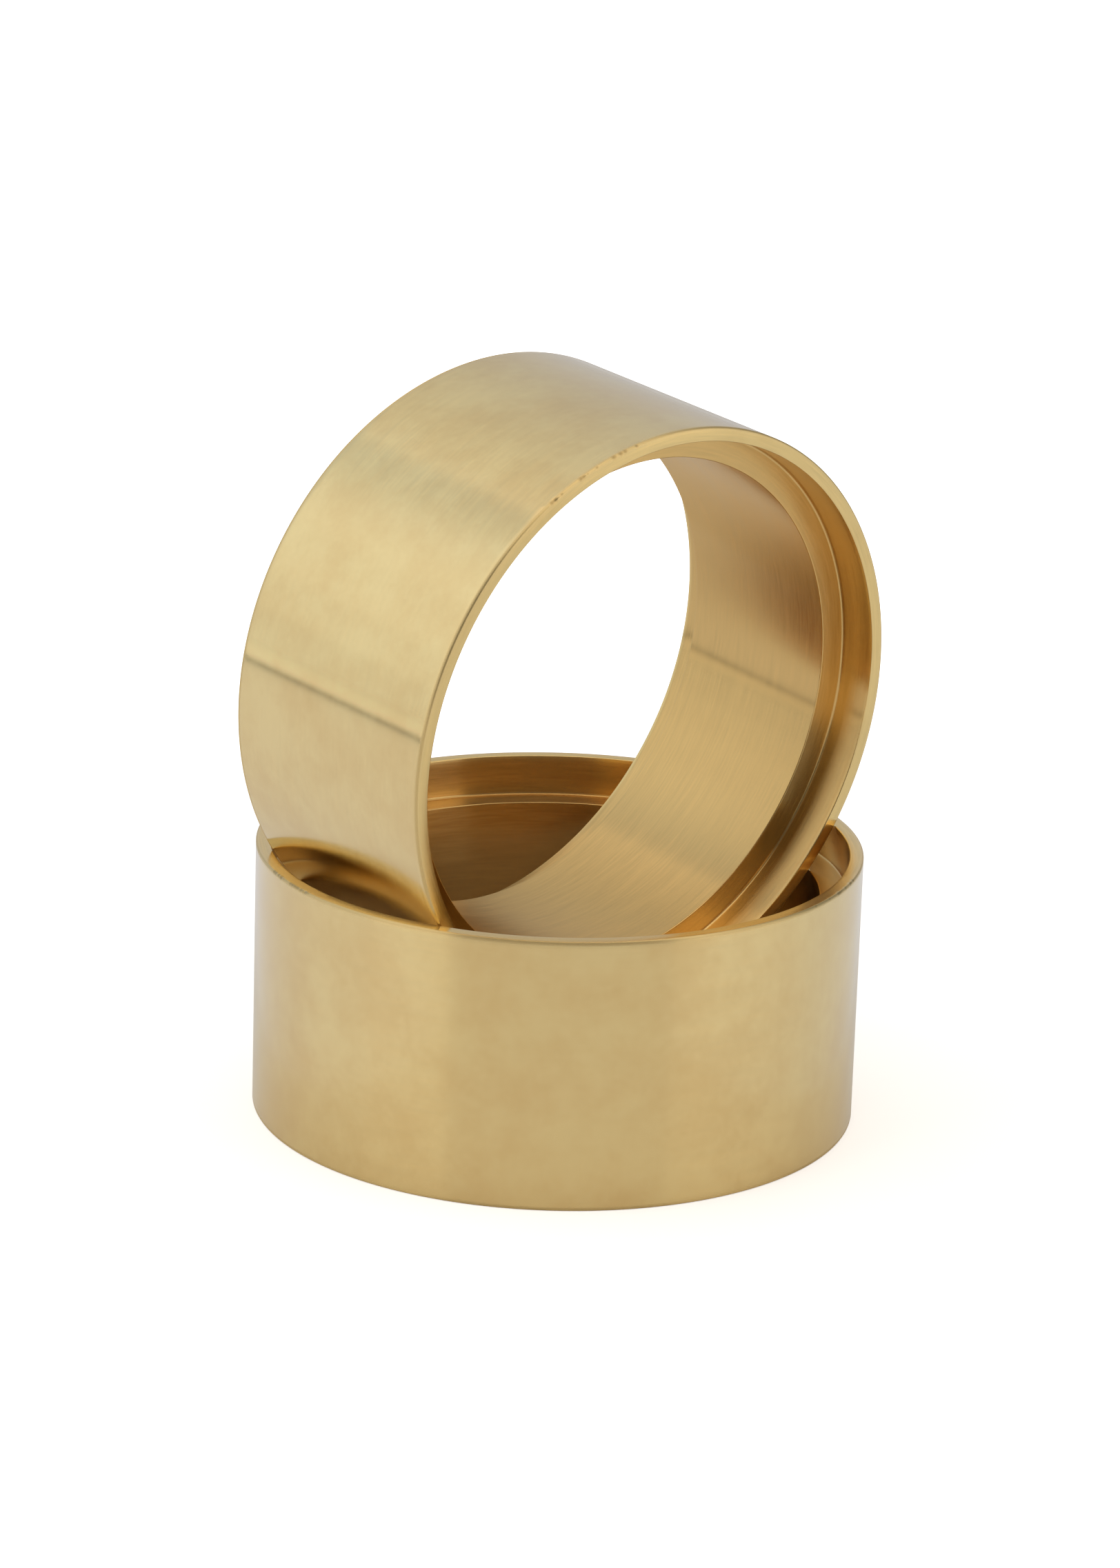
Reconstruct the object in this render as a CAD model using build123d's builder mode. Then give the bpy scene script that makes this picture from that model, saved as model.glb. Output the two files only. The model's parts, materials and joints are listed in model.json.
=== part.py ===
from build123d import *
from math import cos, radians, sin
import os

# A pair of identical turned brass rings. One stands flat on its rim. The other rests on edge in the
# first one's mouth, leaning a few degrees. Millimetres, +Z up, origin on the floor at the standing
# ring's axis. Each ring is one piece of metal: a short tube with a seat counterbored into each mouth.

# the ring
OUTER_RADIUS = 21.5
WIDTH = 19.4
BORE_RADIUS = 18.5
SEAT_RADIUS = 20.5
SEAT_DEPTH = 3.0

# edges left by the lathe
RIM_BREAK = 0.13
SEAT_BREAK = 0.08
BORE_BREAK = 0.08
TOOL_NOSE_RADIUS = 0.2

# how the second ring rests: its middle is on the first ring's axis, and its own axis is turned about
# +Z from -Y towards +X, then tipped down at that end. Its wall and rims come nearest to the lower
# mouth at four places, and stay about 0.08 clear of it there.
LEAN_CENTRE_Z = 31.03
LEAN_SWING = 41.8
LEAN_TIP = 4.56

swing, tip = radians(LEAN_SWING), radians(LEAN_TIP)
lean_axis = Vector(sin(swing) * cos(tip), -cos(swing) * cos(tip), -sin(tip))
lean_side = Vector(cos(swing), sin(swing), 0)

# each ring's own frame: origin at the middle of its width, z along its axis
places = {
    "standing_ring": Plane(origin=(0, 0, WIDTH / 2), x_dir=(1, 0, 0), z_dir=(0, 0, 1)),
    "leaning_ring": Plane(origin=(0, 0, LEAN_CENTRE_Z), x_dir=lean_side, z_dir=lean_axis),
}

os.makedirs("parts", exist_ok=True)

for name, place in places.items():
    # the wall's section lies in the plane through the ring's axis: x is the radius, y the axis
    section = Plane(origin=place.origin, x_dir=place.x_dir, z_dir=-place.y_dir)
    with BuildPart() as ring:
        with BuildSketch(section) as wall:
            with Locations((BORE_RADIUS, 0)):
                Rectangle(OUTER_RADIUS - BORE_RADIUS, WIDTH, align=(Align.MIN, Align.CENTER))
            # a seat in each mouth
            with Locations((BORE_RADIUS, -WIDTH / 2), (BORE_RADIUS, WIDTH / 2)):
                Rectangle(
                    SEAT_RADIUS - BORE_RADIUS,
                    2 * SEAT_DEPTH,
                    align=(Align.MIN, Align.CENTER),
                    mode=Mode.SUBTRACT,
                )
            chamfer(wall.vertices().group_by(Axis.X)[0], BORE_BREAK)
            chamfer(wall.vertices().group_by(Axis.X)[-1], RIM_BREAK)
            # the seat wall's four ends: the outer two are the mouth's edges, the inner two the corners
            seat_ends = wall.vertices().filter_by_position(Axis.X, SEAT_RADIUS, SEAT_RADIUS)
            fillet(seat_ends.sort_by(Axis.Y)[1:3], TOOL_NOSE_RADIUS)
            seat_ends = wall.vertices().filter_by_position(Axis.X, SEAT_RADIUS, SEAT_RADIUS)
            mouth_edges = seat_ends.sort_by(Axis.Y)
            chamfer([mouth_edges[0], mouth_edges[-1]], SEAT_BREAK)
        revolve(axis=Axis(place.origin, place.z_dir))
    ring.part.label = name
    export_step(ring.part, f"parts/{name}.step")
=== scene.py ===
"""Two identical turned brass rings: one stands flat, the other leans on edge in its mouth."""

import json
import math
import random

import bmesh
import bpy
from bpy.props import FloatProperty, FloatVectorProperty, IntProperty, PointerProperty
from mathutils import Matrix, Vector


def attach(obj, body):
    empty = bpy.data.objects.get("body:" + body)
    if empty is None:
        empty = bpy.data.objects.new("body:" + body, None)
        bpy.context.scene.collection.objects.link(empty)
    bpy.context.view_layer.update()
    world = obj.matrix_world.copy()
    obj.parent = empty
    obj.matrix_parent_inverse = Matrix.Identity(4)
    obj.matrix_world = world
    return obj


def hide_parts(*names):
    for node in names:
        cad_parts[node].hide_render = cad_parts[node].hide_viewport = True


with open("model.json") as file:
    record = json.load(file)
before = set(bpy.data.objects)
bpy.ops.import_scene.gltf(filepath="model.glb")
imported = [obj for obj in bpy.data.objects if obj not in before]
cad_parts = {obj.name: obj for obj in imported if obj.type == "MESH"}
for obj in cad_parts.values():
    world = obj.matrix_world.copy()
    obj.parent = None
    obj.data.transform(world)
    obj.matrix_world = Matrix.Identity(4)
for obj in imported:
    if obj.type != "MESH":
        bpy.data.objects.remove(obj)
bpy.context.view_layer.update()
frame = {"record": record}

bl_info = {
    "name": "Turned Brass Rings",
    "version": (1, 0, 0),
    "blender": (4, 5, 0),
    "location": "3D View > Sidebar > Rings",
    "description": "Builds a pair of counterbored brass rings and the studio they stand in",
    "category": "Object",
}

MM = 0.001
SAME_POINT = 0.0001 * MM
ON_CIRCLE = 0.001 * MM
DENT_REACH = (0.12 * MM, 0.32 * MM)
DENT_DEPTH = (0.01 * MM, 0.04 * MM)
WHITE = (1, 1, 1, 1)
BACKDROP = 1.02
mounts = {mount["name"]: mount for mount in frame["record"]["mounts"]}


def mount_size(name, size):
    """A mount's stated size, in metres."""
    return mounts[name]["dims"][size] * MM


def linear(hex_colour):
    """An sRGB hex colour as linear red, green and blue."""
    channels = [int(hex_colour[i : i + 2], 16) / 255 for i in (1, 3, 5)]
    return [c / 12.92 if c <= 0.04045 else ((c + 0.055) / 1.055) ** 2.4 for c in channels]


# ---------------------------------------------------------------- settings


class RingSizes(bpy.types.PropertyGroup):
    """The sizes that both rings share."""

    outer_radius: FloatProperty(
        name="Outer Radius",
        description="Radius of the plain outer wall",
        default=mount_size("outer_wall", "r_mm"),
        unit="LENGTH",
        precision=5,
    )
    width: FloatProperty(
        name="Width",
        description="Distance from rim to rim",
        default=mount_size("outer_wall", "length_mm"),
        unit="LENGTH",
        precision=5,
    )
    bore_radius: FloatProperty(
        name="Bore Radius",
        description="Radius of the bore between the two seats",
        default=mount_size("leaning_bore", "r_mm"),
        unit="LENGTH",
        precision=5,
    )
    seat_radius: FloatProperty(
        name="Seat Radius",
        description="Radius of the counterbore in each mouth",
        default=mount_size("bottom_seat", "r_mm"),
        unit="LENGTH",
        precision=5,
    )
    seat_depth: FloatProperty(
        name="Seat Depth",
        description="How deep each counterbore goes",
        default=mount_size("bottom_seat", "length_mm"),
        unit="LENGTH",
        precision=5,
    )
    rim_break: FloatProperty(
        name="Rim Break",
        description="Size of the broken edge round the outside of each rim",
        default=0.13 * MM,
        unit="LENGTH",
        precision=5,
    )
    inner_break: FloatProperty(
        name="Inner Break",
        description="Size of the broken edge at each mouth and at each end of the bore",
        default=0.08 * MM,
        unit="LENGTH",
        precision=5,
    )
    tool_radius: FloatProperty(
        name="Tool Radius",
        description="Radius that the turning tool leaves in the seats' corners",
        default=0.2 * MM,
        unit="LENGTH",
        precision=5,
    )
    steps: IntProperty(
        name="Steps",
        description="Number of flats round each ring",
        default=384,
        min=48,
    )


class BrassFinish(bpy.types.PropertyGroup):
    """The colours and gloss of the brass."""

    clean: FloatVectorProperty(
        name="Inner Brass",
        description="Colour of the turned metal inside the rings",
        subtype="COLOR",
        size=3,
        min=0,
        max=1,
        default=linear("#E5C07D"),
    )
    hazed: FloatVectorProperty(
        name="Hazed Brass",
        description="Colour of the outer wall, where handling has left a pale haze",
        subtype="COLOR",
        size=3,
        min=0,
        max=1,
        default=linear("#F8DE9D"),
    )
    worn: FloatVectorProperty(
        name="Worn Edge",
        description="Colour of the rims and edges that rubbing keeps bright",
        subtype="COLOR",
        size=3,
        min=0,
        max=1,
        default=linear("#F6D895"),
    )
    scuffed: FloatVectorProperty(
        name="Scuffed Corner",
        description="Colour of the outer corners of the rims, dulled by knocks",
        subtype="COLOR",
        size=3,
        min=0,
        max=1,
        default=linear("#E7CB8E"),
    )
    dent_tone: FloatVectorProperty(
        name="Dent Tone",
        description="Colour of the dull metal in the dents",
        subtype="COLOR",
        size=3,
        min=0,
        max=1,
        default=linear("#6E4E22"),
    )
    film: FloatProperty(
        name="Film",
        description="Weight of the clear film that handling leaves on the outer wall",
        subtype="FACTOR",
        default=0.8,
        min=0,
        max=1,
    )
    outer_roughness: FloatProperty(
        name="Outer Roughness",
        description="Roughness of the finely turned outer wall",
        subtype="FACTOR",
        default=0.2,
        min=0,
        max=1,
    )
    inner_roughness: FloatProperty(
        name="Inner Roughness",
        description="Roughness of the bore and seats",
        subtype="FACTOR",
        default=0.23,
        min=0,
        max=1,
    )
    cloud_size: FloatProperty(
        name="Cloud Size",
        description="Distance between the cloudy patches of haze",
        default=7 * MM,
        unit="LENGTH",
        precision=4,
    )
    line_spacing: FloatProperty(
        name="Line Spacing",
        description="Distance between the lines that the turning tool left",
        default=0.14 * MM,
        unit="LENGTH",
        precision=5,
    )


class Studio(bpy.types.PropertyGroup):
    """Where the camera stands and how bright the light tent is."""

    camera_distance: FloatProperty(
        name="Camera Distance",
        description="Distance from the camera to the point it looks at",
        default=375.6 * MM,
        unit="LENGTH",
    )
    camera_elevation: FloatProperty(
        name="Camera Elevation",
        description="Angle of the camera above the level",
        default=math.radians(17.55),
        unit="ROTATION",
    )
    camera_roll: FloatProperty(
        name="Camera Roll",
        description="Tilt of the camera about its own line of sight",
        default=math.radians(1.84),
        unit="ROTATION",
    )
    lens: FloatProperty(
        name="Focal Length",
        description="Focal length on a 36 mm sensor, in millimetres",
        default=122.2,
    )
    tent_radiance: FloatProperty(
        name="Open Front",
        description="Radiance of the room that shows through the tent's open front",
        default=0.11,
        min=0,
    )


# ---------------------------------------------------------------- ring shape


def ring_frame(centre, axis):
    """The matrix that puts a ring made about +Z at a centre, with its axis along the given one."""
    axis = Vector(axis).normalized()
    side = Vector((0, 0, 1)).cross(axis)
    side = side.normalized() if side.length > 0.5 else Vector((1, 0, 0))
    turn = Matrix((side, axis.cross(side), axis)).transposed()
    return Matrix.Translation(centre) @ turn.to_4x4()


def circle_edges(bm, radius, height):
    """The edges of the circles at a radius and at a height either side of the middle."""

    def on_circle(vert):
        same_radius = abs(vert.co.xy.length - radius) < ON_CIRCLE
        return same_radius and abs(abs(vert.co.z) - height) < ON_CIRCLE

    return [
        edge
        for edge in bm.edges
        if all(on_circle(vert) for vert in edge.verts)
        and abs(edge.verts[0].co.z - edge.verts[1].co.z) < ON_CIRCLE
    ]


def round_edges(bm, edges, size, segments):
    """Rounds edges, hollow or standing, with the given leg length."""
    bmesh.ops.bevel(
        bm,
        geom=edges,
        offset=size,
        offset_type="OFFSET",
        segments=segments,
        profile=0.5,
        affect="EDGES",
        material=-1,
        clamp_overlap=True,
    )


def turned_wall(sizes):
    """A ring about +Z, centred on the origin, as the lathe leaves it."""
    half = sizes.width / 2
    step = half - sizes.seat_depth
    section = [
        (sizes.outer_radius, -half),
        (sizes.outer_radius, half),
        (sizes.seat_radius, half),
        (sizes.seat_radius, step),
        (sizes.bore_radius, step),
        (sizes.bore_radius, -step),
        (sizes.seat_radius, -step),
        (sizes.seat_radius, -half),
    ]
    bm = bmesh.new()
    verts = [bm.verts.new((radius, 0, height)) for radius, height in section]
    outline = [bm.edges.new(pair) for pair in zip(verts, verts[1:] + verts[:1])]
    bmesh.ops.spin(
        bm,
        geom=verts + outline,
        axis=(0, 0, 1),
        cent=(0, 0, 0),
        angle=math.tau,
        steps=sizes.steps,
        use_merge=True,
    )
    bmesh.ops.remove_doubles(bm, verts=bm.verts, dist=SAME_POINT)
    bmesh.ops.recalc_face_normals(bm, faces=bm.faces)
    for radius, height, size, segments in (
        (sizes.outer_radius, half, sizes.rim_break, 4),
        (sizes.seat_radius, half, sizes.inner_break, 3),
        (sizes.seat_radius, step, sizes.tool_radius, 4),
        (sizes.bore_radius, step, sizes.inner_break, 3),
    ):
        round_edges(bm, circle_edges(bm, radius, height), size, segments)
    return bm


def strike(bm, struck, spot, reach, depth):
    """Pushes a small dent into a rim's outer edge, and marks how much darker its colour is made."""
    darkest_dent = 0.5
    towards_middle = Vector((0, 0, math.copysign(1, spot.z)))
    inward = Vector((-spot.x, -spot.y, 0)).normalized() - towards_middle
    inward.normalize()
    for vert in bm.verts:
        share = 1 - (vert.co - spot).length_squared / reach**2
        if share > 0:
            vert.co += inward * depth * share**2
            vert[struck] = max(vert[struck], darkest_dent * share**2)


def knock_rim(bm, sizes, knocks, seed):
    """Handling marks. A knock is an angle round the rim, the spread either side of it, both in
    degrees, which rim it is on, and how many dents it has."""
    draw = random.Random(seed)
    struck = bm.verts.layers.float.new("struck")
    half = sizes.width / 2
    margin = 0.6 * MM
    slack = 1.1
    longest = 0.1 * MM
    # a line round the wall keeps the finer mesh of the dents close to the rim
    for side in (-1, 1):
        bmesh.ops.bisect_plane(
            bm,
            geom=bm.verts[:] + bm.edges[:] + bm.faces[:],
            plane_co=(0, 0, side * (half - margin)),
            plane_no=(0, 0, 1),
        )
    for angle, spread, side, count in knocks:
        middle = Matrix.Rotation(math.radians(angle), 3, "Z") @ Vector(
            (sizes.outer_radius, 0, side * half)
        )
        reach = math.radians(spread) * sizes.outer_radius + margin
        close = [
            edge
            for edge in bm.edges
            if edge.calc_length() > longest
            and all(
                (vert.co - middle).length < reach and abs(vert.co.z) > half - slack * margin
                for vert in edge.verts
            )
        ]
        bmesh.ops.subdivide_edges(bm, edges=close, cuts=4, use_grid_fill=True)
        for _ in range(count):
            turn = math.radians(angle + draw.uniform(-spread, spread))
            spot = Matrix.Rotation(turn, 3, "Z") @ Vector((sizes.outer_radius, 0, side * half))
            strike(bm, struck, spot, draw.uniform(*DENT_REACH), draw.uniform(*DENT_DEPTH))


def add_surface_maps(bm):
    """The ring's own coordinates in millimetres, and a UV map that runs across and along the
    lathe's lines, one unit to a centimetre across them and to a radian along them."""
    centimetre = 10 * MM
    own = bm.verts.layers.float_vector.new("ring_mm")
    for vert in bm.verts:
        vert[own] = vert.co / MM
    turning = bm.loops.layers.uv.new("turning")
    bm.normal_update()
    for face in bm.faces:
        face.smooth = True
        centre = face.calc_center_median()
        start = math.atan2(centre.y, centre.x)
        faces_axis = abs(face.normal.z) > math.sqrt(0.5)
        for loop in face.loops:
            point = loop.vert.co
            swing = math.atan2(point.y, point.x) - start
            swing = (swing + math.pi) % math.tau - math.pi
            across = point.xy.length if faces_axis else point.z
            loop[turning].uv = (across / centimetre, start + swing)


def finish_ring(name, bm, place, material):
    """Makes the ring's object at the origin, with its place in its mesh."""
    add_surface_maps(bm)
    bm.transform(place)
    mesh = bpy.data.meshes.new(name)
    bm.to_mesh(mesh)
    bm.free()
    mesh.materials.append(material)
    ring = bpy.data.objects.new(name, mesh)
    bpy.context.scene.collection.objects.link(ring)
    # the wide walls keep their true direction and the narrow rounds turn smoothly between them
    weigh = ring.modifiers.new("weigh_normals", "WEIGHTED_NORMAL")
    weigh.mode = "FACE_AREA"
    weigh.weight = 100
    return ring


# ---------------------------------------------------------------- brass


def add_node(tree, kind, inputs=None, output=None, **settings):
    """Adds a node with its settings, and gives each input a value or a link. Where an output is
    named, returns that instead of the node."""
    node = tree.nodes.new(kind)
    for name, value in settings.items():
        setattr(node, name, value)
    for name, value in (inputs or {}).items():
        if isinstance(value, bpy.types.NodeSocket):
            tree.links.new(value, node.inputs[name])
        else:
            node.inputs[name].default_value = value
    return node.outputs[output] if output else node


def lathe_lines(tree, place, length, width):
    """Streaks of a length round the ring and a width across it, both in millimetres. The place is
    the heading round the axis, the distance from it, the height and the outer radius."""
    heading, radius, height, outer_radius = place
    round_ring = add_node(
        tree,
        "ShaderNodeVectorMath",
        {0: heading, "Scale": outer_radius / length},
        "Vector",
        operation="SCALE",
    )
    surface = add_node(
        tree, "ShaderNodeMath", {0: height, 1: radius}, "Value", operation="SUBTRACT"
    )
    across = add_node(tree, "ShaderNodeMath", {0: surface, 1: width}, "Value", operation="DIVIDE")
    along = add_node(tree, "ShaderNodeCombineXYZ", {"Z": across}, "Vector")
    spot = add_node(
        tree, "ShaderNodeVectorMath", {0: round_ring, 1: along}, "Vector", operation="ADD"
    )
    return add_node(tree, "ShaderNodeTexNoise", {"Vector": spot, "Scale": 1, "Detail": 2}, "Fac")


def satin_turned_brass(finish, sizes):
    """Free-cutting brass as a fine finishing cut leaves it. The tool's lines run round the ring, so
    what it mirrors stays crisp round the wall and smears along the axis. Handling has clouded the
    outer wall with a pale haze, the inside of the rings is given a darker, deeper yellow and shows
    the lines, the rims are rubbed bright, and the dents are made a little darker."""
    name = "satin_turned_brass"
    if name in bpy.data.materials:
        return bpy.data.materials[name]
    material = bpy.data.materials.new(name)
    material.use_nodes = True
    tree = material.node_tree
    tree.nodes.clear()
    outer_radius = sizes.outer_radius / MM
    seat_radius = sizes.seat_radius / MM
    half = sizes.width / 2 / MM
    spacing = finish.line_spacing / MM
    groove = 0.0008 * MM

    # where on the ring: height above the middle, distance from the axis, and heading round it
    own = add_node(tree, "ShaderNodeAttribute", None, "Vector", attribute_name="ring_mm")
    height = add_node(tree, "ShaderNodeSeparateXYZ", {0: own}, "Z")
    flat = add_node(
        tree, "ShaderNodeVectorMath", {0: own, 1: (1, 1, 0)}, "Vector", operation="MULTIPLY"
    )
    radius = add_node(tree, "ShaderNodeVectorMath", {0: flat}, "Value", operation="LENGTH")
    heading = add_node(tree, "ShaderNodeVectorMath", {0: flat}, "Vector", operation="NORMALIZE")
    above = add_node(tree, "ShaderNodeMath", {0: height}, "Value", operation="ABSOLUTE")
    below_rim = add_node(tree, "ShaderNodeMath", {0: half, 1: above}, "Value", operation="SUBTRACT")
    outside = add_node(
        tree,
        "ShaderNodeMapRange",
        {"Value": radius, "From Min": outer_radius - 0.3, "From Max": outer_radius - 0.05},
        "Result",
    )

    # the real lines are about 0.05 mm apart, and are drawn wider here so that they show
    place = (heading, radius, height, outer_radius)
    fine_lines = lathe_lines(tree, place, 22 * spacing, spacing)
    broad_lines = lathe_lines(tree, place, 70 * spacing, 5 * spacing)
    fine_swing = add_node(
        tree, "ShaderNodeMath", {0: fine_lines, 1: 0.5}, "Value", operation="SUBTRACT"
    )
    lines = add_node(
        tree,
        "ShaderNodeMath",
        {0: fine_swing, 1: 1.5, 2: broad_lines},
        "Value",
        operation="MULTIPLY_ADD",
    )

    # haze in cloudy patches, with the fainter outlines of dried drops
    spot = add_node(tree, "ShaderNodeTexCoord", None, "Object")
    clouds = add_node(
        tree,
        "ShaderNodeTexNoise",
        {"Vector": spot, "Scale": 1 / finish.cloud_size, "Detail": 6, "Roughness": 0.7},
        "Fac",
    )
    drops = add_node(
        tree,
        "ShaderNodeTexNoise",
        {"Vector": spot, "Scale": 0.6 / finish.cloud_size, "Detail": 2, "Roughness": 0.45},
        "Fac",
    )
    drop_level = add_node(tree, "ShaderNodeMath", {0: drops, 1: 0.6}, "Value", operation="SUBTRACT")
    drop_edge = add_node(tree, "ShaderNodeMath", {0: drop_level}, "Value", operation="ABSOLUTE")
    outline = add_node(
        tree,
        "ShaderNodeMapRange",
        {"Value": drop_edge, "From Min": 0.002, "From Max": 0.02, "To Min": -0.05, "To Max": 0},
        "Result",
        interpolation_type="SMOOTHSTEP",
    )
    cloud_haze = add_node(
        tree,
        "ShaderNodeMapRange",
        {"Value": clouds, "From Min": 0.3, "From Max": 0.7, "To Min": 0.5, "To Max": 1.05},
        "Result",
        interpolation_type="SMOOTHSTEP",
    )
    haze = add_node(tree, "ShaderNodeMath", {0: outline, 1: cloud_haze}, "Value", operation="ADD")
    outer_haze = add_node(
        tree, "ShaderNodeMath", {0: outside, 1: haze}, "Value", operation="MULTIPLY"
    )
    # the inside of the rings is given a darker, deeper yellow than the paler outer wall
    metal = add_node(
        tree,
        "ShaderNodeMix",
        {"Factor": outer_haze, "A": (*finish.clean, 1), "B": (*finish.hazed, 1)},
        "Result",
        data_type="RGBA",
    )

    # rubbing brightens the rims' flats and every edge of the rims, unevenly
    past_seat = add_node(
        tree,
        "ShaderNodeMapRange",
        {"Value": radius, "From Min": seat_radius - 0.05, "From Max": seat_radius},
        "Result",
    )
    rim_rub = add_node(
        tree,
        "ShaderNodeMapRange",
        {"Value": below_rim, "From Min": 0.1, "From Max": 0.35, "To Min": 1, "To Max": 0},
        "Result",
        interpolation_type="SMOOTHSTEP",
    )
    patchy_rub = add_node(
        tree,
        "ShaderNodeMapRange",
        {"Value": clouds, "From Min": 0.25, "From Max": 0.5, "To Min": 0.6, "To Max": 1},
        "Result",
    )
    on_rim = add_node(
        tree, "ShaderNodeMath", {0: past_seat, 1: rim_rub}, "Value", operation="MULTIPLY"
    )
    rubbed = add_node(
        tree, "ShaderNodeMath", {0: on_rim, 1: patchy_rub}, "Value", operation="MULTIPLY"
    )
    metal = add_node(
        tree,
        "ShaderNodeMix",
        {"Factor": rubbed, "A": metal, "B": (*finish.worn, 1)},
        "Result",
        data_type="RGBA",
    )

    # the outer corner of each rim is scuffed paler and duller
    corner = add_node(
        tree,
        "ShaderNodeMapRange",
        {"Value": radius, "From Min": outer_radius - 0.16, "From Max": outer_radius - 0.06},
        "Result",
    )
    scuff = add_node(
        tree, "ShaderNodeMath", {0: corner, 1: rim_rub}, "Value", operation="MULTIPLY"
    )
    metal = add_node(
        tree,
        "ShaderNodeMix",
        {"Factor": scuff, "A": metal, "B": (*finish.scuffed, 1)},
        "Result",
        data_type="RGBA",
    )
    # the dents are made darker in colour
    struck = add_node(tree, "ShaderNodeAttribute", None, "Fac", attribute_name="struck")
    metal = add_node(
        tree,
        "ShaderNodeMix",
        {"Factor": struck, "A": metal, "B": (*finish.dent_tone, 1)},
        "Result",
        data_type="RGBA",
    )

    # the lines darken the inside most
    line_depth = add_node(
        tree, "ShaderNodeMapRange", {"Value": outside, "To Min": 0.17, "To Max": 0.05}, "Result"
    )
    swing = add_node(tree, "ShaderNodeMath", {0: lines, 1: 0.5}, "Value", operation="SUBTRACT")
    shade = add_node(
        tree,
        "ShaderNodeMath",
        {0: swing, 1: line_depth, 2: 1},
        "Value",
        operation="MULTIPLY_ADD",
    )
    metal = add_node(
        tree, "ShaderNodeVectorMath", {0: metal, "Scale": shade}, "Vector", operation="SCALE"
    )

    # the gloss wavers a little with the lines and the haze
    wall_roughness = add_node(
        tree,
        "ShaderNodeMapRange",
        {"Value": outside, "To Min": finish.inner_roughness, "To Max": finish.outer_roughness},
        "Result",
    )
    waver = add_node(tree, "ShaderNodeMath", {0: swing, 1: clouds}, "Value", operation="ADD")
    centred = add_node(tree, "ShaderNodeMath", {0: waver, 1: 0.5}, "Value", operation="SUBTRACT")
    even_roughness = add_node(
        tree,
        "ShaderNodeMath",
        {0: centred, 1: 0.05, 2: wall_roughness},
        "Value",
        operation="MULTIPLY_ADD",
    )
    roughness = add_node(
        tree,
        "ShaderNodeMath",
        {0: scuff, 1: 0.18, 2: even_roughness},
        "Value",
        operation="MULTIPLY_ADD",
    )
    filmed = add_node(
        tree, "ShaderNodeMath", {0: outside, 1: scuff}, "Value", operation="SUBTRACT"
    )
    coat = add_node(
        tree, "ShaderNodeMath", {0: filmed, 1: finish.film}, "Value", operation="MULTIPLY"
    )
    tangent = add_node(
        tree, "ShaderNodeTangent", None, "Tangent", direction_type="UV_MAP", uv_map="turning"
    )
    relief = add_node(
        tree,
        "ShaderNodeBump",
        {"Strength": 1, "Distance": groove, "Height": fine_lines},
        "Normal",
    )
    shader = add_node(
        tree,
        "ShaderNodeBsdfPrincipled",
        {
            "Base Color": metal,
            "Metallic": 1,
            "Roughness": roughness,
            "Anisotropic": 0.97,
            "Tangent": tangent,
            "Normal": relief,
            "Coat Weight": coat,
            "Coat Roughness": 0.12,
        },
        "BSDF",
    )
    add_node(tree, "ShaderNodeOutputMaterial", {"Surface": shader})
    return material


# ---------------------------------------------------------------- studio


def softbox(name, low, high, facing, radiance, colour):
    """An even wall of light between two corners, unseen by the camera. Its power follows from its
    radiance and its area."""
    low, high, facing = Vector(low), Vector(high), Vector(facing)
    upright = facing.to_track_quat("-Z", "Y").to_matrix()
    span = upright.transposed() @ (high - low)
    light = bpy.data.lights.new(name, "AREA")
    light.shape = "RECTANGLE"
    light.size, light.size_y = abs(span.x), abs(span.y)
    light.color = linear(colour)
    light.energy = radiance * math.pi * light.size * light.size_y
    lamp = bpy.data.objects.new(name, light)
    lamp.location = (low + high) / 2
    lamp.rotation_euler = upright.to_euler()
    lamp.visible_camera = False
    bpy.context.scene.collection.objects.link(lamp)


def stage_card(name, corners, material):
    """A flat card of the stage."""
    bm = bmesh.new()
    bm.faces.new([bm.verts.new(corner) for corner in corners])
    mesh = bpy.data.meshes.new(name)
    bm.to_mesh(mesh)
    bm.free()
    mesh.materials.append(material)
    card = bpy.data.objects.new(name, mesh)
    bpy.context.scene.collection.objects.link(card)
    return card


def white_sheet(name, shade, shade_seen, glow_seen):
    """Matt white paper. The camera sees it overexposed, with only the shade round the rings left
    on it, and quite white further out."""
    shaded_reach, white_reach = 0.04, 0.16
    material = bpy.data.materials.new(name)
    material.use_nodes = True
    tree = material.node_tree
    tree.nodes.clear()
    seen = add_node(tree, "ShaderNodeLightPath", None, "Is Camera Ray")
    colour = add_node(
        tree,
        "ShaderNodeMix",
        {"Factor": seen, "A": (*shade, 1), "B": (*shade_seen, 1)},
        "Result",
        data_type="RGBA",
    )
    spot = add_node(tree, "ShaderNodeTexCoord", None, "Object")
    reach = add_node(tree, "ShaderNodeVectorMath", {0: spot}, "Value", operation="LENGTH")
    bright = add_node(
        tree,
        "ShaderNodeMapRange",
        {
            "Value": reach,
            "From Min": shaded_reach,
            "From Max": white_reach,
            "To Min": glow_seen,
            "To Max": BACKDROP,
        },
        "Result",
        interpolation_type="SMOOTHSTEP",
    )
    glow = add_node(tree, "ShaderNodeMath", {0: seen, 1: bright}, "Value", operation="MULTIPLY")
    shader = add_node(
        tree,
        "ShaderNodeBsdfPrincipled",
        {
            "Base Color": colour,
            "Roughness": 1,
            "Specular IOR Level": 0,
            "Emission Color": WHITE,
            "Emission Strength": glow,
        },
        "BSDF",
    )
    add_node(tree, "ShaderNodeOutputMaterial", {"Surface": shader})
    return material


def painted_gap_shade(name):
    """A matt black card that paints the shade of a dark gap."""
    material = bpy.data.materials.new(name)
    material.use_nodes = True
    shader = material.node_tree.nodes["Principled BSDF"]
    shader.inputs["Base Color"].default_value = (0.02, 0.02, 0.02, 1)
    shader.inputs["Roughness"].default_value = 0.9
    return material


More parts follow.
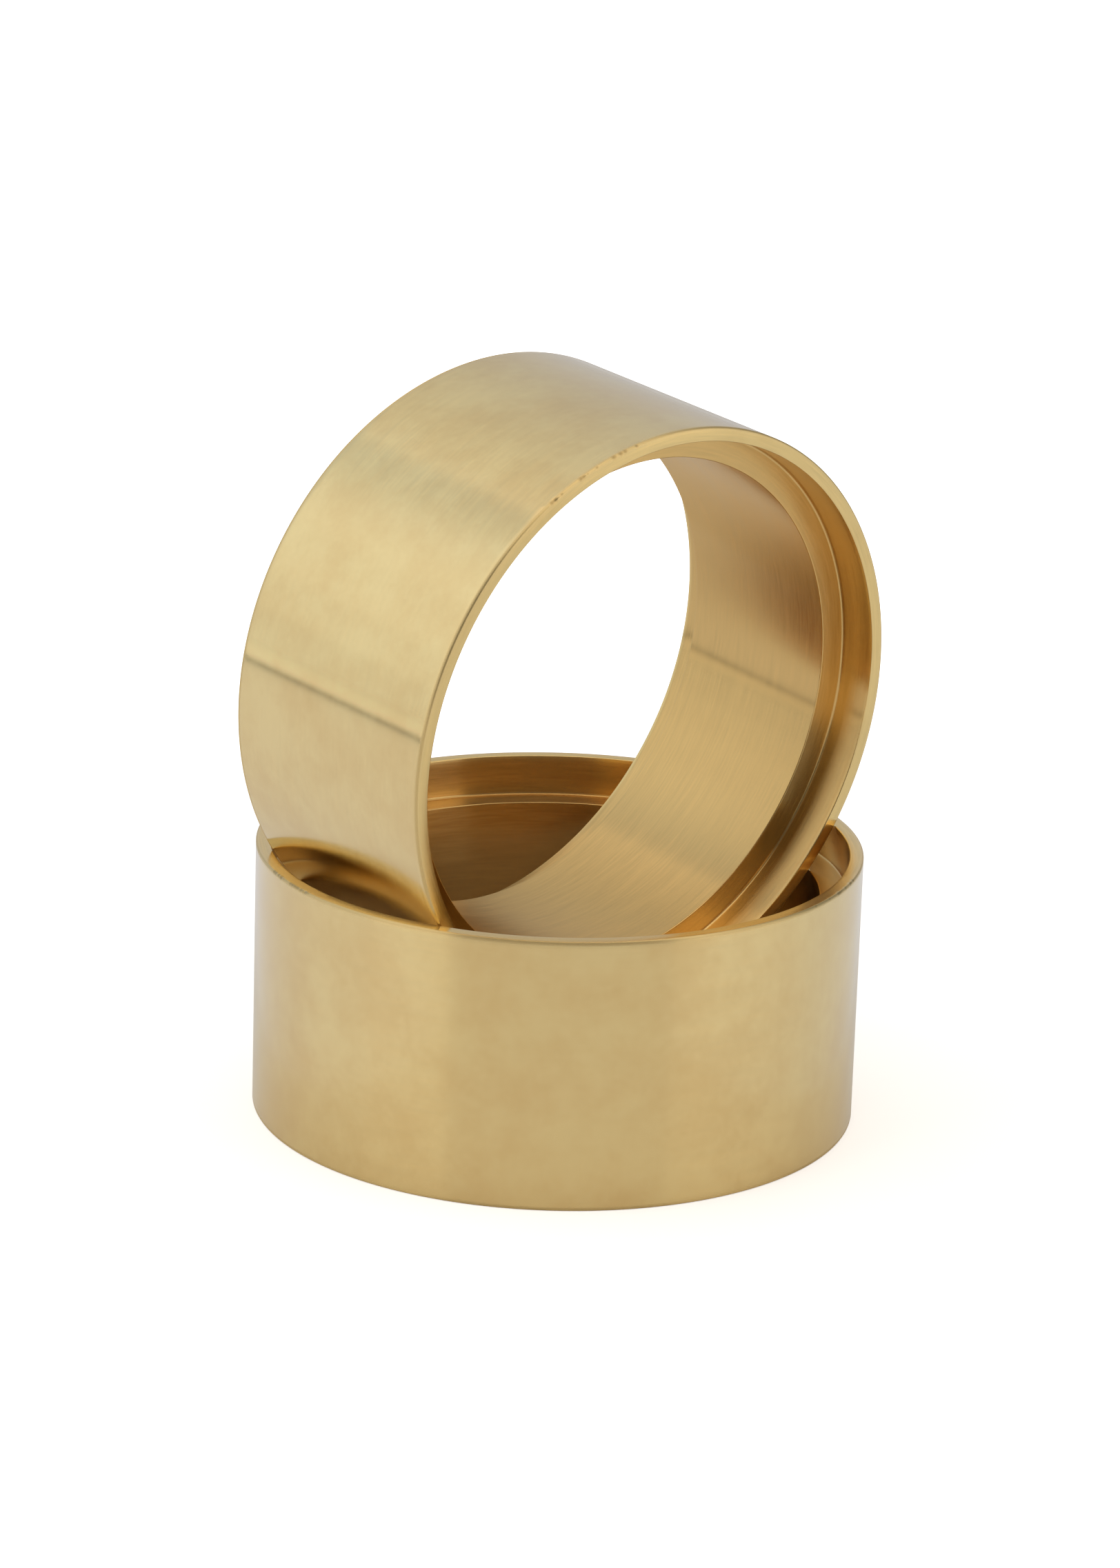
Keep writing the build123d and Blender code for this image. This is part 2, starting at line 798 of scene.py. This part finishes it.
def light_world(radiance):
    """A white world to look at, which lights the rings only as dimly as the tent's open front."""
    world = bpy.data.worlds.new("tent")
    world.use_nodes = True
    tree = world.node_tree
    tree.nodes.clear()
    seen = add_node(tree, "ShaderNodeLightPath", None, "Is Camera Ray")
    lit = add_node(
        tree, "ShaderNodeBackground", {"Color": WHITE, "Strength": radiance}, "Background"
    )
    plain = add_node(
        tree, "ShaderNodeBackground", {"Color": WHITE, "Strength": BACKDROP}, "Background"
    )
    mixed = add_node(tree, "ShaderNodeMixShader", {0: seen, 1: lit, 2: plain}, "Shader")
    add_node(tree, "ShaderNodeOutputWorld", {"Surface": mixed})
    bpy.context.scene.world = world


def place_camera(studio):
    """The camera looks down a little at the middle of the pair from the front, slightly rolled."""
    target = Vector((-0.135 * MM, 0, 23.7 * MM))
    rise = studio.camera_elevation
    back = Vector((0, -math.cos(rise), math.sin(rise)))
    lens = bpy.data.cameras.new("camera")
    lens.lens = studio.lens
    lens.sensor_width = 36
    lens.clip_start = 0.01
    camera = bpy.data.objects.new("camera", lens)
    upright = (-back).to_track_quat("-Z", "Y").to_matrix().to_4x4()
    roll = Matrix.Rotation(studio.camera_roll, 4, "Z")
    stand = Matrix.Translation(target + back * studio.camera_distance)
    camera.matrix_world = stand @ upright @ roll
    bpy.context.scene.collection.objects.link(camera)
    bpy.context.scene.camera = camera


# ---------------------------------------------------------------- operators


class SCENE_OT_studio(bpy.types.Operator):
    """Sets up the camera, the floor and the light tent"""

    bl_idname = "scene.brass_rings_studio"
    bl_label = "Add Studio"

    def execute(self, context):
        studio = context.scene.studio
        place_camera(studio)
        light_world(studio.tent_radiance)
        paper = 2.0
        stage_card(
            "floor",
            [(-paper, -paper, 0), (paper, -paper, 0), (paper, paper, 0), (-paper, paper, 0)],
            white_sheet("matt_white_paper", shade=(0.9,) * 3, shade_seen=(1,) * 3, glow_seen=0.46),
        )
        left, right, front, back, top = -0.275, 0.32, -0.35, 0.6, 0.5
        # the gap under the left wall is dark, and the rings mirror it as a thin line; a black card
        # paints that shade in
        foot = 0.0048
        seam = stage_card(
            "seam",
            [(left, -1, 0), (left, back, 0), (left, back, foot), (left, -1, foot)],
            painted_gap_shade("painted_gap_shade"),
        )
        seam.visible_camera = False
        to_right, to_left, to_front = (1, 0, 0), (-1, 0, 0), (0, -1, 0)
        down, up = (0, 0, -1), (0, 0, 1)
        middle, low = 0.1, 0.25
        # two weak glows lie just above the paper at the sides
        sheet = 0.0005
        for name, start, end, facing, radiance, colour in (
            ("left_front", (left, front, foot), (left, -middle, top), to_right, 0.93, "#FFFAF3"),
            ("left_back", (left, middle, foot), (left, back, top), to_right, 0.58, "#E2EFFF"),
            ("back_low", (left, back, 0), (right, back, low), to_front, 0.47, "#F8F9FF"),
            ("back_high", (left, back, low), (right, back, top), to_front, 0.44, "#F7F9FF"),
            ("right_edge", (right, front, 0), (right, -0.27, top), to_left, 0.67, "#FFFAF4"),
            ("right_front", (right, -0.27, 0), (right, -0.16, top), to_left, 0.91, "#FFF9F2"),
            ("right_middle", (right, -0.16, 0), (right, -0.02, top), to_left, 0.79, "#FFF7ED"),
            ("right_turn", (right, -0.02, 0), (right, 0.06, top), to_left, 0.56, "#FFF9F2"),
            ("right_back", (right, 0.06, 0), (right, back, top), to_left, 0.15, "#EFF7FF"),
            ("sheet_left", (left, -0.05, sheet), (-0.03, 0.25, sheet), up, 0.10, "#9ABBFF"),
            ("sheet_right", (0.03, -0.05, sheet), (right, 0.25, sheet), up, 0.10, "#9BCCFF"),
            ("top_front", (left, front, top), (right, -0.05, top), down, 1.15, "#FFF5E7"),
            ("top_middle", (left, -0.05, top), (right, 0.2, top), down, 0.99, "#FFF6EC"),
            ("top_back", (left, 0.2, top), (right, back, top), down, 0.50, "#F7FBFF"),
        ):
            softbox(name, start, end, facing, radiance, colour)
        # the left wall's middle brightens upwards
        edges = [foot, 0.03, 0.07, 0.12, 0.2, top]
        for step, (bottom, head) in enumerate(zip(edges, edges[1:])):
            start, end = (left, -middle, bottom), (left, middle, head)
            radiance = 0.61 + 0.065 * step
            softbox(f"left_middle_{step}", start, end, to_right, radiance, "#F6FAFF")
        context.scene.view_settings.view_transform = "Standard"
        return {"FINISHED"}


class SCENE_OT_standing_ring(bpy.types.Operator):
    """Adds the ring that stands flat on its rim"""

    bl_idname = "scene.standing_ring"
    bl_label = "Add Standing Ring"

    def execute(self, context):
        sizes = context.scene.ring_sizes
        bm = turned_wall(sizes)
        knock_rim(bm, sizes, [(-149, 8, 1, 14), (-146, 2, 1, 12), (-26, 9, 1, 9)], seed=3)
        place = ring_frame((0, 0, sizes.width / 2), (0, 0, 1))
        brass = satin_turned_brass(context.scene.brass, sizes)
        ring = finish_ring("turned_standing_ring", bm, place, brass)
        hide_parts("standing_ring")
        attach(ring, "standing_ring")
        return {"FINISHED"}


class SCENE_OT_leaning_ring(bpy.types.Operator):
    """Adds the ring that leans on edge in the standing ring's mouth"""

    bl_idname = "scene.leaning_ring"
    bl_label = "Add Leaning Ring"

    def execute(self, context):
        sizes = context.scene.ring_sizes
        bm = turned_wall(sizes)
        knock_rim(bm, sizes, [(112, 11, 1, 14)], seed=5)
        bore = mounts["leaning_bore"]
        place = ring_frame(bore["pos_m"], bore["axis"])
        brass = satin_turned_brass(context.scene.brass, sizes)
        ring = finish_ring("turned_leaning_ring", bm, place, brass)
        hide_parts("leaning_ring")
        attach(ring, "leaning_ring")
        return {"FINISHED"}


class VIEW3D_PT_brass_rings(bpy.types.Panel):
    """Lists the rings' sizes and finish, and the steps that build them"""

    bl_label = "Brass Rings"
    bl_space_type = "VIEW_3D"
    bl_region_type = "UI"
    bl_category = "Rings"

    def draw(self, context):
        layout = self.layout
        for group in (context.scene.ring_sizes, context.scene.brass, context.scene.studio):
            box = layout.box()
            for name in group.__annotations__:
                box.prop(group, name)
        for operator in OPERATORS:
            layout.operator(operator.bl_idname)


OPERATORS = (SCENE_OT_studio, SCENE_OT_standing_ring, SCENE_OT_leaning_ring)
CLASSES = (RingSizes, BrassFinish, Studio, *OPERATORS, VIEW3D_PT_brass_rings)


def register():
    for cls in CLASSES:
        bpy.utils.register_class(cls)
    bpy.types.Scene.ring_sizes = PointerProperty(type=RingSizes)
    bpy.types.Scene.brass = PointerProperty(type=BrassFinish)
    bpy.types.Scene.studio = PointerProperty(type=Studio)


def unregister():
    del bpy.types.Scene.studio
    del bpy.types.Scene.brass
    del bpy.types.Scene.ring_sizes
    for cls in reversed(CLASSES):
        bpy.utils.unregister_class(cls)


def main():
    register()
    bpy.ops.scene.brass_rings_studio()
    bpy.ops.scene.standing_ring()
    bpy.ops.scene.leaning_ring()


if __name__ == "__main__":
    main()
